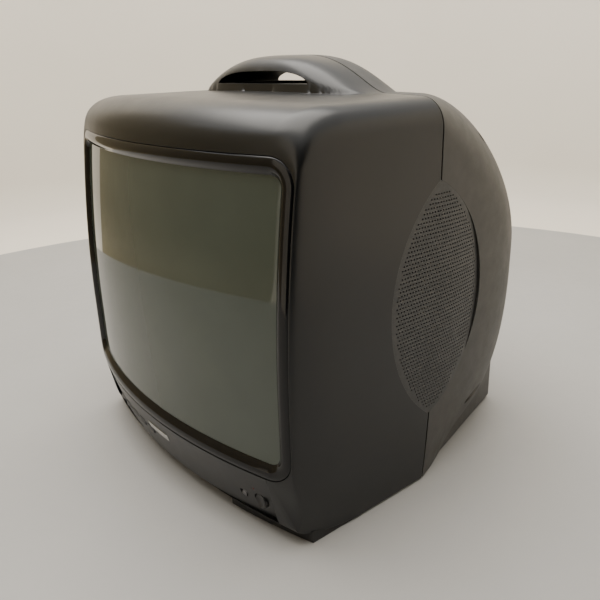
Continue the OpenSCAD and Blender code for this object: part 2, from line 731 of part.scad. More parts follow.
module convergence_rings() {
    color("#d8d6cc") for (k = [0:2]) difference() {
        union() {
            rod(0, tube_z, neck_d + 16, clamp_y + 14 + 6 * k, clamp_y + 18 + 6 * k);
            box(-3, 3, clamp_y + 14 + 6 * k, clamp_y + 18 + 6 * k, tube_z + neck_r + 5, tube_z + neck_r + 14);
        }
        rod(0, tube_z, neck_d + 0.4, clamp_y + 12, clamp_y + 40);
    }
}
module yoke_wedges() {
    color("#3d3b38") for (a = [90, 210, 330]) translate([0, yoke_y0 - 1, tube_z]) rotate([0, a, 0])
        translate([yoke_r + 7.5, 0, 0]) rotate([0, 0, 0]) box(-1, 4, -6, 0.4, -8, 8);
}
socket_y = neck_y1 + 1;
module tube_socket() {
    color("#c9c4b4") difference() {
        rod(0, tube_z, neck_d + 6, socket_y, socket_y + 11);
        rod(0, tube_z, 9, socket_y - 1, socket_y + 8);
        for (a = [0:36:324]) translate([0, 0, tube_z]) rotate([0, a, 0]) rod(neck_r - 4, 0, 1.4, socket_y - 1, socket_y + 8);
    }
}
module neck_board() {
    y = socket_y + 11;
    color("#7b6a3c") difference() {
        box(-38, 38, y, y + board_t, tube_z - 34, tube_z + 34);
        for (x = [-1, 1]) for (z = [-1, 1]) rod(x * 33, tube_z + z * 29, 3.2, y - 1, y + 3);
    }
}
module degauss_coil() {
    y = funnel_y0 + 1;
    color("#1f1d1c") difference() {
        along_y(y, y + 9) rounded(glass_half + 8, glass_z0 - 8, glass_z1 + 8, 28);
        along_y(y - 1, y + 10) rounded(glass_half - 1, glass_z0 + 1, glass_z1 - 1, 20);
    }
}
anode_y = blend(funnel_y0, yoke_y0, 0.52);
anode_z = tube_z + 68.6;
module anode_cap() {
    color("#202021") translate([0, anode_y, anode_z]) rotate([-36, 0, 0]) {
        cylinder(d1 = 34, d2 = 30, h = 3, $fn = 48);
        translate([0, 0, 3]) cylinder(d1 = 18, d2 = 11, h = 8, $fn = 48);
    }
}

// Sweeps a round section along points, for leads that lie inside the cabinet.
function unit(v) = v / norm(v);
function sweep_rings(path, r, n) = [for (i = [0:len(path) - 1])
    let (t = unit(path[min(i + 1, len(path) - 1)] - path[max(i - 1, 0)]),
         u = unit(cross(t, abs(t[0]) > 0.9 ? [0, 0, 1] : [1, 0, 0])), v = cross(t, u))
    [for (k = [0:n - 1]) let (a = 360 * k / n) path[i] + r * (u * cos(a) + v * sin(a))]];
function bezier(p, s) = len(p) == 1 ? p[0]
    : bezier([for (i = [0:len(p) - 2]) blend(p[i], p[i + 1], s)], s);
flyback_x = 78;
flyback_y = 58;
flyback_h = 62;
module anode_lead() {
    y = flyback_y + chassis_y;
    path = [[flyback_x, y, chassis_z + flyback_h + 7.3], [flyback_x, y, 170], [78, y - 40, tube_z + 84],
            [24, y - 60, tube_z + 114], [0, anode_y + 30, tube_z + 112], [0, anode_y + 6.9, anode_z + 9.5]];
    color("#5b1512") skin(sweep_rings([for (j = [0:20]) bezier(path, j / 20)], 2.2, 8));
}

// ---- chassis ----
board_y1 = board_y0 + board_l;
board_z = chassis_z - board_t;
post_x = board_w / 2 - 7;
post_y = [board_y0 + 9, board_y1 - 16];
module main_board() {
    color("#7b6a3c") difference() {
        box(-board_w / 2, board_w / 2, board_y0, board_y1, board_z, chassis_z);
        both_sides() for (y = post_y) translate([post_x, y, 0]) cylinder(d = 3.6, h = 40, $fn = 32);
    }
}
module board_posts() {
    color("#1f1f20") both_sides() for (y = post_y) translate([post_x, y, floor_z + wall]) difference() {
        cylinder(d = 8, h = board_z - floor_z - wall, $fn = 32);
        translate([0, 0, 1.5]) cylinder(d = 3, h = 20, $fn = 32);
    }
}
module board_screws() {
    color("silver") both_sides() for (y = post_y) translate([post_x, y, 0]) {
        translate([0, 0, board_z - 5]) cylinder(d = 2.8, h = 5 + board_t + 0.5, $fn = 32);
        translate([0, 0, chassis_z]) cylinder(d = 6.5, h = 2.2, $fn = 32);
    }
}
module part_box(x, y, w, l, h, lift = 0) {
    translate([x - w / 2, chassis_y + y - l / 2, chassis_z + lift]) cube([w, l, h]);
}
module can(x, y, d, h) { translate([x, chassis_y + y, chassis_z]) cylinder(d = d, h = h, $fn = 40); }
module flyback_transformer() {
    color("#26282b") {
        part_box(flyback_x, flyback_y, 44, 40, flyback_h - 8);
        can(flyback_x, flyback_y, 34, flyback_h);
        can(flyback_x, flyback_y, 12, flyback_h + 7);
    }
}
module flyback_core() {
    color("#3a3735") difference() {
        part_box(flyback_x, flyback_y - 27, 12, 14, 48);
        part_box(flyback_x, flyback_y - 23, 14, 9, 28, 10);
    }
}
module supply_transformer() {
    color("#a9823a") {
        part_box(-66, 64, 40, 36, 14);
        part_box(-66, 64, 30, 34, 38);
    }
    color("#3a3735") part_box(-66, 64, 44, 14, 32);
}
module heat_sink_supply() {
    color("#b3b6b9") {
        part_box(-98, 62, 2.5, 70, 52);
        for (k = [-3:3]) part_box(-103.5, 62 + 11 * k, 9, 1.6, 50);
    }
}
module heat_sink_scan() {
    color("#b3b6b9") {
        part_box(30, 70, 2, 46, 40);
        part_box(35, 46.9, 10, 1.8, 40);
        part_box(35, 93.1, 10, 1.8, 40);
    }
}
module heat_sinks() {
    heat_sink_supply();
    heat_sink_scan();
}
module transistors() {
    color("#18181a") {
        for (y = [42, 66, 84]) part_box(-94.5, y, 4.4, 14, 22);
        part_box(26.7, 69, 4.4, 14, 22);
        part_box(0, 2, 14, 44, 4.5);
        part_box(34, -4, 9, 36, 4.5);
        part_box(60, -46, 9, 26, 4.5);
    }
}
module capacitors() {
    color("#23324a") {
        can(-72, 22, 30, 42);
        can(-34, 30, 16, 26);
        can(-14, 30, 13, 22);
        can(60, 14, 16, 28);
        can(84, 10, 12, 20);
        for (x = [-50, -30, -10, 10, 30]) can(x, -30, 8, 13);
    }
}
module line_filter() {
    color("#b07a2e") {
        part_box(-86, -18, 26, 22, 20);
        part_box(-86, -18, 30, 12, 14);
    }
}
module fuse() {
    color("silver") for (y = [-58, -40]) part_box(-86, y, 7, 5, 9);
    color("#dfe6e6") translate([-86, chassis_y - 56, chassis_z + 5.6]) rotate([-90, 0, 0]) cylinder(d = 5, h = 14, $fn = 32);
}
module tuner() { color("#c3c6c8") part_box(-30, 96, 22, 60, 17); }
module aerial_socket() {
    color("#c8cacb") difference() {
        union() {
            rod(aerial_x, aerial_z, aerial_d, box_end_y - 18, box_end_y + 0.5);
            rod(aerial_x, aerial_z, aerial_d + 6, box_end_y - wall - 3, box_end_y - wall - 0.2);
            rod(aerial_x, aerial_z, plug_d, box_end_y, box_end_y + 8.5);
        }
        rod(aerial_x, aerial_z, plug_d - 1.4, box_end_y - 12, box_end_y + 9);
    }
    color("#c8cacb") rod(aerial_x, aerial_z, 2.4, box_end_y - 12.5, box_end_y + 7);
}
module av_socket() {
    w = av_w / 2;
    h = av_h / 2;
    color("#161617") difference() {
        box(av_x - w, av_x + w, box_end_y - 20, box_end_y + 2, aerial_z - h, aerial_z + h);
        box(av_x - w + 3, av_x + w - 3, box_end_y - 10, box_end_y + 3, aerial_z - h + 3, aerial_z + h - 3);
    }
}
module socket_board() {
    color("#7b6a3c") difference() {
        box(aerial_x - 16, av_x + av_w / 2 + 10, box_end_y - 22, box_end_y - 20.2, aerial_z - 24, aerial_z + 22);
        rod(aerial_x, aerial_z, aerial_d + 1, box_end_y - 30, box_end_y - 10);
    }
}
module rear_sockets() {
    aerial_socket();
    av_socket();
    socket_board();
}
module cord_gland() {
    color("#141415") difference() {
        union() {
            rod(gland_x, gland_z, gland_d - 0.4, box_end_y - wall - 3, box_end_y + 0.2);
            rod(gland_x, gland_z, gland_d + 5, box_end_y, box_end_y + 3);
            rod(gland_x, gland_z, gland_d + 4, box_end_y - wall - 3.2, box_end_y - wall - 0.2);
        }
        rod(gland_x, gland_z, 6.6, box_end_y - wall - 5, box_end_y + 5);
    }
}

// ---- feet ----
// A front foot is a wedge under the chin, as deep as the chin's own profile.
foot_x0 = 84;
foot_x1 = half_w - 5;
foot_flare = half_w * tuck(floor_z, 3.16 * mid_z) / (window_half - window_r) - 1;
foot_steps = 6;
function chin_z(j) = blend(window_z, floor_z, chin[j][0]) - fit;
function foot_y(x, j) = front_y + pow(x / (1 + foot_flare * chin[j][0]), 2) / (2 * face_r) + chin[j][1];
module front_foot() {
    loops = [for (k = [0:foot_steps]) let (x = blend(foot_x0, foot_x1, k / foot_steps),
            top = [for (j = [4:edge_n - 1]) [x, foot_y(x, j), chin_z(j)]])
        concat([[x, top[0][1], 0]], top, [[x, top[len(top) - 1][1], 0]])];
    color("#111112") skin(loops);
}
pad_places = [[118, seam_y - 28], [92, box_end_y - 26]];
module pads() {
    color("#0f0f10") both_sides() for (p = pad_places)
        translate([p[0], p[1], 0]) cylinder(d = 20, h = floor_z, $fn = 48);
}

front_shell();
rear_shell();
shell_screws();
screen_bezel();
control_strip();
badge();
for (i = [0:key_count - 1]) key(i);
key_board();
tact_switches();
power_button();
power_spring();
power_switch();
lamp();
remote_eye();
grille();  // grille_right
mirror([1, 0, 0]) grille();  // grille_left
baffle();  // baffle_right
mirror([1, 0, 0]) baffle();  // baffle_left
speaker_frame();  // speaker_frame_right
mirror([1, 0, 0]) speaker_frame();  // speaker_frame_left
speaker_magnet();  // speaker_magnet_right
mirror([1, 0, 0]) speaker_magnet();  // speaker_magnet_left
speaker_cone();  // speaker_cone_right
mirror([1, 0, 0]) speaker_cone();  // speaker_cone_left
crt_faceplate();
crt_funnel();
crt_neck();
electron_gun();
implosion_band();
tube_screws();
deflection_coils();
yoke_core();
yoke_clamp();
yoke_wedges();
convergence_rings();
tube_socket();
neck_board();
degauss_coil();
anode_cap();
anode_lead();
main_board();
board_posts();
board_screws();
flyback_transformer();
flyback_core();
supply_transformer();
heat_sinks();
transistors();
capacitors();
line_filter();
fuse();
tuner();
rear_sockets();
cord_gland();
both_sides() front_foot();  // front_feet
pads();
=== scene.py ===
# Portable television: a picture tube in a black ABS cabinet of two
# shells, with speaker grilles at the sides and a handle moulded into the top.
import json
import math

import bmesh
import bpy
import numpy as np
from mathutils import Matrix, Vector
from mathutils.geometry import delaunay_2d_cdt


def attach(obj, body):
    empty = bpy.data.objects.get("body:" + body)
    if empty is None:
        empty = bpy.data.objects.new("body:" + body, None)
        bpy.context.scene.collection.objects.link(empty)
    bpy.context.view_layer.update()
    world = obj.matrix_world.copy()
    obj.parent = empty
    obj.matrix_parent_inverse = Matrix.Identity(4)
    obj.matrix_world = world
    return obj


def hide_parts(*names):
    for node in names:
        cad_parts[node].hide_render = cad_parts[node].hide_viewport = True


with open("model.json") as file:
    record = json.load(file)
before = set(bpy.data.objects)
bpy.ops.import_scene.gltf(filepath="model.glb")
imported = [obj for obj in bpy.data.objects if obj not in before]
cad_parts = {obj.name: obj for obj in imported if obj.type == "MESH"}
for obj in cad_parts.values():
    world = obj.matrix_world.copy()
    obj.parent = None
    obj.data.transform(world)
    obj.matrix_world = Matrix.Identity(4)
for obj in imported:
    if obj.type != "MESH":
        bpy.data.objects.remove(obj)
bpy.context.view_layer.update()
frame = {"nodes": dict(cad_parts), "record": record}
nodes = frame["nodes"]
MM = 0.001

# ---------------------------------------------------------------- camera
camera = bpy.data.objects.new("camera", bpy.data.cameras.new("camera"))
bpy.context.scene.collection.objects.link(camera)
bpy.context.scene.camera = camera
camera.data.lens = 39.0
camera.data.sensor_width = 36
camera.data.clip_start = 0.02
camera.data.clip_end = 20
azimuth, pitch, roll = math.radians(51.0), math.radians(20.2), math.radians(-1.7)
ahead = Vector((-math.sin(azimuth) * math.cos(pitch), math.cos(azimuth) * math.cos(pitch), -math.sin(pitch)))
right = Vector((math.cos(azimuth), math.sin(azimuth), 0))
above = right.cross(ahead)
right_rolled = right * math.cos(roll) + above * math.sin(roll)
above_rolled = above * math.cos(roll) - right * math.sin(roll)
turn = Matrix((right_rolled, above_rolled, -ahead)).transposed().to_4x4()
camera.matrix_world = Matrix.Translation((0.4967, -0.4065, 0.3667)) @ turn

# ---------------------------------------------------------------- sizes, in mm
body_w, body_h, front_d, rear_d = 354, 339, 180, 193
wall, top_r, edge_d, crown, foot_gap = 3, 24, 48, 3, 2
window_w, window_h, window_z, window_r = 342, 246, 63, 22
face_r, face_lean, bezel_w, glass_recess, glass_t = 526, 14, 13, 4, 12
handle_rise, tunnel_w, grip_t, slot_h = 30, 133, 13, 10.5
island_w, island_front, island_rear = 117, 42, 38
strip_w, key_w, key_h, key_pitch, power_d = 294, 12, 6, 19.5, 13
grille_h, grille_front, grille_rear, grille_turn = 206, 52, 66, 7
rear_flat = 0.975
seam_y = (front_d + 0.8 - rear_flat * rear_d) / 2
front_y = seam_y - front_d
half_w, mid_z = body_w / 2, body_h / 2
window_half, window_top = window_w / 2, window_z + window_h
handle_h = body_h + crown + handle_rise
grip_z = handle_h - grip_t
lip_z = grip_z - slot_h
tube_z = window_z + window_h / 2
key_z, key_x0 = window_z - 25, -21
power_x, power_z = 133, window_z - 30
grille_z = mid_z + 5
box_end_y = seam_y + rear_d - 16
strip_half, strip_z0 = strip_w / 2, window_z - 47
seam_tuck = 3.16 * mid_z
FLOOR, LOW, SIDE, HIGH, TOP = 24, 24, 48, 30, 90
HALF = FLOOR + LOW + SIDE + HIGH + TOP


def ease(t):
    """A smooth step from 0 at 0 to 1 at 1."""
    return t * t * (3 - 2 * t)


def arch(s, power):
    """A rounded fall from 1 at 0 to 0 at 1: round for a power of 2, squarer above it."""
    return np.maximum(0, 1 - np.maximum(s, 0) ** power) ** (1 / power)


def tuck(z, depth):
    """The share of the full half width at height z: the sides draw in towards the floor."""
    return arch(np.maximum(mid_z - z, 0) / depth, 2.2)


def hump(x, y):
    """Rise of the handle's island over the top: an arch on a flat oval plan with steep sides."""
    x, y = np.broadcast_arrays(np.asarray(x, float), y)
    side = np.minimum(np.abs(x) / island_w, 1)
    reach = np.where(y < seam_y, island_front, island_rear) * np.sqrt(1 - side ** 5.3)
    v = np.minimum(np.abs(y - seam_y) / np.maximum(reach, 0.01), 1)
    return handle_rise * (1 - side ** 3) ** 1.75 * np.where(y < seam_y, (1 - v ** 4.2) ** 0.4, 1 - v ** 5)


def top_crown(x):
    """The slight rise of the top towards its middle."""
    return crown * np.maximum(0, 1 - (x / (half_w - top_r)) ** 2)


def face_y(x, z):
    """The front face's y: it bulges both ways, leans back at the top and slopes back at the chin."""
    lean = face_lean * (np.maximum(z - 130, 0) / (window_top - 130)) ** 2
    chin = np.maximum(window_z - z, 0) * 0.3
    return front_y + x * x / (2 * face_r) + lean + chin


def part_way(a, b, n):
    """n steps from a towards b, without b itself."""
    return a + (b - a) * np.arange(n) / n


def joined(pieces):
    """Pieces of an outline, each as x and z, one after another."""
    return np.vstack([np.column_stack(np.broadcast_arrays(x, z)) for x, z in pieces])


def mirrored(half):
    """A closed outline from its right half."""
    return np.vstack([half, half[HALF - 1:0:-1] * (-1, 1)])


def window_line(g):
    """The outline of the tube's window, grown by g."""
    hw, z0, z1, r = window_half + g, window_z - g, window_top + g, window_r + g
    low = np.arange(LOW) / LOW * math.pi / 2
    high = np.arange(HIGH) / HIGH * math.pi / 2
    return mirrored(joined([
        (part_way(0, hw - r, FLOOR), z0),
        (hw - r + r * np.sin(low), z0 + r - r * np.cos(low)),
        (hw, part_way(z0 + r, z1 - r, SIDE)),
        (hw - r + r * np.cos(high), z1 - r + r * np.sin(high)),
        ((hw - r) * (1 - np.arange(TOP + 1) / TOP), z1)]))


def cabinet_line(a, zt, rx, rz, hb, zb, t):
    """A section of the cabinet: a is half its width, zt its top, rx and rz its upper corner,
    hb how deep the sides tuck in, zb its floor and t the wall taken off it."""
    xb, knee = a * tuck(zb, hb) - t, zb + 42
    low, side = part_way(zb, knee, LOW), part_way(knee, zt - rz, SIDE)
    high = np.arange(HIGH) / HIGH * math.pi / 2
    return mirrored(joined([
        (part_way(0, xb, FLOOR), zb + t),
        (a * tuck(low, hb) - t, np.maximum(low, zb + t)),
        (a * tuck(side, hb) - t, side),
        (a - rx + (rx - t) * np.cos(high) ** (2 / 2.2), zt - rz + (rz - t) * np.sin(high) ** (2 / 2.2)),
        ((a - rx) * (1 - np.arange(TOP + 1) / TOP), zt - t)]))


def seam_line(t):
    """The cabinet's section where the two shells meet."""
    return cabinet_line(half_w, body_h, top_r, top_r, seam_tuck, foot_gap, t)


def lifted(line, y, share=1.0, rise=1.0):
    """An outline at depth y, with the crown and the handle's rise on its upper half."""
    x, z = line[:, 0], line[:, 1]
    up = np.where(z > mid_z, share * top_crown(x) + rise * hump(x, y), 0)
    return np.column_stack([x, np.full_like(x, y), z + up])


CHIN = np.array([[0, 0], [0.25, 4.6], [0.5, 9.2], [0.74, 13.6], [0.81, 18], [0.87, 27],
                 [0.93, 42], [0.97, 58], [1, 75]])


def chin_at(u):
    """The chin's profile as a smooth curve through its points, u from 0 to 1."""
    k = min(int(u * 8), 7)
    f = u * 8 - k
    p = [CHIN[max(k - 1, 0)], CHIN[k], CHIN[k + 1], CHIN[min(k + 2, 8)]]
    return 0.5 * (2 * p[1] + (p[2] - p[0]) * f + (2 * p[0] - 5 * p[1] + 4 * p[2] - p[3]) * f * f
                  + (3 * p[1] - p[0] - 3 * p[2] + p[3]) * f ** 3)


k_from_floor = np.minimum(np.arange(2 * HALF), 2 * HALF - np.arange(2 * HALF))
CHIN_SHARE = 1 - ease(np.clip((k_from_floor - FLOOR) / LOW, 0, 1))


def edge_ring(u, t, rise=1.0):
    """The rounded front edge: u goes from the window at 0 to the side walls at 1."""
    w, s = window_line(0), seam_line(t)
    a = u * math.pi / 2
    share, depth = chin_at(u)
    r = math.sin(a) ** (2 / 2.4) * (1 - CHIN_SHARE) + share * CHIN_SHARE
    d = (edge_d - t) * (1 - math.cos(a) ** (2 / 2.4)) * (1 - CHIN_SHARE) + depth * CHIN_SHARE
    x = w[:, 0] + (s[:, 0] - w[:, 0]) * r
    z = w[:, 1] + (s[:, 1] - w[:, 1]) * r
    y = face_y(w[:, 0], w[:, 1]) + d + t
    up = np.where(s[:, 1] > mid_z, r, 0) * (top_crown(x) + rise * hump(x, y))
    return np.column_stack([x, y, z + up])


def front_rings(t, edges, depths, rise=1.0):
    """The front shell's skin as rings, from the window over the edge to the seam."""
    rings = [edge_ring(u, t, rise) for u in np.linspace(0, 1, edges + 1)]
    last, s = rings[-1], seam_line(t)
    for k in range(1, depths + 1):
        y = last[:, 1] + (seam_y - last[:, 1]) * k / depths
        up = np.where(s[:, 1] > mid_z, 1, 0) * (top_crown(s[:, 0]) + rise * hump(s[:, 0], y))
        rings.append(np.column_stack([s[:, 0], y, s[:, 1] + up]))
    return rings


def rear_ring(s, t, rise=1.0):
    """The rear shell's section at a share s of its depth."""
    depth = s * rear_d
    a = (half_w - 0.06 * depth) * float(arch(np.array(s), 3.8))
    zt = mid_z + (body_h - mid_z) * float(arch(np.array(s), 2.6))
    g = min(1.3 * s, 1)
    rx = top_r + (0.85 * a - top_r) * g
    rz = top_r + (0.85 * (zt - mid_z) - top_r) * g
    hb = mid_z * (1.36 + 1.8 * math.exp(-depth / 38))
    line = cabinet_line(a, zt, rx, rz, hb, foot_gap + 100 * s ** 8, t)
    return lifted(line, seam_y + depth, 1 - ease(min(s / 0.5, 1)), rise)


# ---------------------------------------------------------------- mesh tools
def make(name, points, faces, smooth=32):
    """A mesh object from points in mm, shaded smooth with edges sharper than the angle kept."""
    mesh = bpy.data.meshes.new(name)
    mesh.from_pydata([tuple(p) for p in np.asarray(points, float) * MM], [], faces)
    mesh.validate()
    obj = bpy.data.objects.new(name, mesh)
    bpy.context.scene.collection.objects.link(obj)
    tidy(obj, smooth)
    return obj


def tidy(obj, smooth=32):
    """Faces outwards, smooth shading and sharp edges."""
    bm = bmesh.new()
    bm.from_mesh(obj.data)
    bmesh.ops.recalc_face_normals(bm, faces=bm.faces)
    for f in bm.faces:
        f.smooth = True
    bm.to_mesh(obj.data)
    bm.free()
    obj.data.set_sharp_from_angle(angle=math.radians(smooth))


def skin_faces(count, n, loop):
    """Quads between rings of n points. A loop joins the last ring to the first."""
    faces = []
    for j in range(count if loop else count - 1):
        k = (j + 1) % count
        faces += [(j * n + i, k * n + i, k * n + (i + 1) % n, j * n + (i + 1) % n) for i in range(n)]
    return faces


def skin(name, rings, hollow=(), smooth=32):
    """A solid through rings: a tube with walls if it is hollow, else with closed ends."""
    every = list(rings) + list(hollow)[::-1]
    n = len(rings[0])
    faces = skin_faces(len(every), n, bool(hollow))
    points = np.vstack(every)
    if not hollow:
        faces.append(tuple(range(n))[::-1])
        faces.append(tuple(range(len(points) - n, len(points))))
    return make(name, points, faces, smooth)


def prism(name, outline, axis, low, high, round_mm=0.0, segments=3):
    """An outline in the plane across an axis, drawn out from low to high."""
    order = {"x": (2, 0, 1), "y": (0, 2, 1), "z": (0, 1, 2)}[axis]
    outline = np.asarray(outline, float)
    ends = [np.column_stack([outline, np.full(len(outline), v)])[:, order] for v in (low, high)]
    obj = skin(name, ends)
    if round_mm:
        rounded(obj, round_mm, segments)
    return obj


def rounded(obj, size, segments=3, angle=40):
    """Rounds an object's edges by size in mm."""
    mod = obj.modifiers.new("round", "BEVEL")
    mod.width, mod.segments, mod.limit_method = size * MM, segments, "ANGLE"
    mod.angle_limit = math.radians(angle)
    mod.use_clamp_overlap = True
    settle(obj)


def settle(obj, smooth=32):
    """Applies an object's modifiers."""
    dg = bpy.context.evaluated_depsgraph_get()
    mesh = bpy.data.meshes.new_from_object(obj.evaluated_get(dg))
    obj.modifiers.clear()
    old = obj.data
    obj.data = mesh
    bpy.data.meshes.remove(old)
    tidy(obj, smooth)


def carve(obj, tools, how="DIFFERENCE", smooth=32):
    """Cuts tools out of an object, or adds them to it, and removes them."""
    for tool in tools:
        mod = obj.modifiers.new("carve", "BOOLEAN")
        mod.operation, mod.solver, mod.object = how, "EXACT", tool
        settle(obj, smooth)
        bpy.data.objects.remove(tool)
    return obj


def block(name, x0, x1, y0, y1, z0, z1, round_mm=0.0, segments=3):
    """A box between limits in x, y and z, with its edges rounded."""
    return prism(name, [[x0, y0], [x1, y0], [x1, y1], [x0, y1]], "z", z0, z1, round_mm, segments)


def disc_line(x, z, d, n=48):
    """A circle of diameter d."""
    a = np.arange(n) / n * 2 * math.pi
    return np.column_stack([x + d / 2 * np.cos(a), z + d / 2 * np.sin(a)])


def rod(name, x, z, d, y0, y1, round_mm=0.0, n=48):
    """A round rod along Y."""
    return prism(name, disc_line(x, z, d, n), "y", y0, y1, round_mm)


def lathe(name, x, z, profile, n=64):
    """A shape turned about an axis along Y, from a profile of radius and y."""
    rings = []
    for r, y in profile:
        c = disc_line(x, z, 2 * r, n)
        rings.append(np.column_stack([c[:, 0], np.full(n, y), c[:, 1]]))
    return skin(name, rings)


def join(objs):
    """Several objects as one, each keeping its own faces."""
    bm = bmesh.new()
    for o in objs:
        bm.from_mesh(o.data)
    bm.to_mesh(objs[0].data)
    bm.free()
    for o in objs[1:]:
        bpy.data.objects.remove(o)
    objs[0].data.set_sharp_from_angle(angle=math.radians(32))
    return objs[0]


def twin(obj, name):
    """The mirror image of an object across the middle of the cabinet."""
    other = bpy.data.objects.new(name, obj.data.copy())
    bpy.context.scene.collection.objects.link(other)
    other.data.transform(Matrix.Scale(-1, 4, (1, 0, 0)))
    tidy(other)
    return other


def place(obj, body, slot, *cad_nodes):
    """Puts a finished piece on its body, in place of the CAD nodes it stands for."""
    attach(obj, body)
    if cad_nodes:
        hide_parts(*cad_nodes)
    wears[obj.name] = slot
    return obj


wears = {}

# ---------------------------------------------------------------- the handle's tunnel
tunnel_half = tunnel_w / 2
well_margin, well_reach = 6, 30


def tunnel_tools():
    """The slots in front of and behind the grip, and the well for the fingers."""
    v = np.cos(np.arange(61) / 60 * math.pi)
    line = np.column_stack([tunnel_half * v, lip_z + slot_h * np.maximum(0, 1 - np.abs(v) ** 3) ** 0.6])
    slot = prism("slot", line, "y", seam_y - 2 * island_front + 8, seam_y + 2 * island_rear + 12)
    well = block("well", well_margin - tunnel_half, tunnel_half - well_margin,
                 seam_y - well_reach, seam_y + well_reach, body_h - 1, lip_z + 1, 4, 4)
    return [slot, well]


# ---------------------------------------------------------------- the speaker's pointed oval
def arc_y(z, sag):
    """How far an edge of the oval bows out at height z, for its greatest bow."""
    r = ((grille_h / 2) ** 2 + sag * sag) / (2 * sag)
    return np.sqrt(np.maximum(0, r * r - (z - grille_z) ** 2)) - r + sag


def oval_line(g, n=90):
    """The pointed oval as y and z, grown by g in y."""
    z = grille_z + grille_h / 2 * np.linspace(-1, 1, n + 1)
    front = np.column_stack([seam_y - arc_y(z, grille_front) - g, z])
    rear = np.column_stack([seam_y + arc_y(z, grille_rear) + g, z])
    return np.vstack([front, rear[::-1]])


def oval_tools():
    """Cutters for the two ovals, through the sides."""
    made = []
    for side in (1, -1):
        line = oval_line(0.3)
        x0, x1 = sorted((side * (half_w - 40), side * (half_w + 20)))
        made.append(prism("oval", line, "x", x0, x1))
    return made


def side_x(y, z):
    """The x of a grille's outer face: it follows the side and turns in towards the back."""
    return half_w * tuck(z, seam_tuck) - 0.3 - np.where(y > seam_y, grille_turn * ((y - seam_y) / grille_rear) ** 2, 0)


# ---------------------------------------------------------------- front shell
groove_half, groove_depth = 0.8, 2.2
outer = front_rings(0, 56, 84)
lip = outer[-1].copy()
outer[-1] = lip + (0, -groove_half, 0)
inset = [lifted(seam_line(groove_depth), seam_y - groove_half), lifted(seam_line(groove_depth), seam_y)]
inner = front_rings(wall, 10, 8, rise=0.0)
for ring in inner:
    ring[:, 2] -= np.where(ring[:, 2] > body_h - 8, 3, 0)
front_shell = skin("front_shell_moulding", outer + inset, inner)
strip_tool = block("strip_hole", -strip_half - 0.8, strip_half + 0.8, front_y - 10, front_y + 55,
                   strip_z0 - 0.3, window_z + 4)
carve(front_shell, tunnel_tools() + [strip_tool] + oval_tools())
place(front_shell, "cabinet", "abs_charcoal", "front_shell")

# ---------------------------------------------------------------- rear shell
shares = np.concatenate([[0.0047], np.linspace(0.012, 0.26, 44), np.linspace(0.26, rear_flat, 70)[1:]])
dome = skin("rear_shell_moulding",
            [lifted(seam_line(groove_depth), seam_y), lifted(seam_line(groove_depth), seam_y + 0.7)]
            + [rear_ring(s, 0) for s in shares])


def skirt(g, z0, z1):
    """The box under the dome, tapering to the back, drawn in by g."""
    x0, x1 = half_w - 9 - g, half_w - 9 - 0.28 * (rear_d - 16) - g
    plan = [[-x0, seam_y + (g > 0) * -1], [x0, seam_y + (g > 0) * -1], [x1, box_end_y - g], [-x1, box_end_y - g]]
    return prism("skirt", plan, "z", z0, z1)


base = skirt(0, foot_gap, 96)
rounded(base, 3.0, 4)
carve(dome, [base], "UNION")
hollow = skin("hollow", [lifted(seam_line(wall + 2), seam_y - 1, 1, 0)]
              + [rear_ring(s, wall + 2, 0) for s in np.linspace(0.01, 0.955, 24)])
base_hollow = skirt(wall, foot_gap + wall, 90)
boss_x, boss_zs, pocket_d = half_w - 28, (foot_gap + 42, body_h - 40), 11
pockets = [rod("pocket", side * boss_x, z, pocket_d, seam_y + 12, seam_y + rear_d)
           for side in (1, -1) for z in boss_zs]
vent_w, vent_h, vent_pitch, vent_row = 4, 22, 10.4, 28.6
slots = []
for c in range(11):
    for r in range(3):
        x, z = (c - 5) * vent_pitch, mid_z - 48 + r * vent_row
        slots.append(block("vent", x - vent_w / 2, x + vent_w / 2, seam_y + 0.6 * rear_d, seam_y + rear_d + 5,
                           z, z + vent_h, 1.6, 3))
holes = [rod("hole", -78, 50, 13.6, box_end_y - 6, box_end_y + 20),
         rod("hole", 84, 34, 12, box_end_y - 6, box_end_y + 20),
         block("hole", -44.3, 4.3, box_end_y - 6, box_end_y + 20, 41.7, 58.3)]
carve(dome, [hollow, base_hollow] + tunnel_tools() + oval_tools() + [join(pockets), join(slots), join(holes)])
place(dome, "cabinet", "abs_rear", "rear_shell")

# ---------------------------------------------------------------- bezel and glass
w_line, v_line = window_line(-0.3), window_line(-bezel_w)


def bezel_ring(k, d):
    """A ring of the bezel: k goes from its outer edge to its inner one, d is its depth."""
    p = w_line + (v_line - w_line) * k
    return np.column_stack([p[:, 0], face_y(p[:, 0], p[:, 1]) + d, p[:, 1]])


profile = [(0, 1.6), (0.01, 0.6), (0.05, 0.05), (0.12, -0.35), (0.22, -0.65), (0.34, -0.8), (0.46, -0.72),
           (0.58, -0.3), (0.69, 0.45), (0.78, 1.3), (0.86, 2.15), (0.92, 2.9), (0.965, 3.35), (1, 3.7)]
bezel = skin("screen_bezel_gloss", [bezel_ring(k, d) for k, d in profile],
             [bezel_ring(0, 6), bezel_ring(0.6, glass_recess - 0.3)], 60)
place(bezel, "cabinet", "bezel_black", "screen_bezel")


def dish(g, d, k):
    """A ring of the tube's face at depth d, shrunk by k towards its centre."""
    p = window_line(g)
    x, z = p[:, 0] * k, tube_z + (p[:, 1] - tube_z) * k
    return np.column_stack([x, face_y(x, z) + d, z])


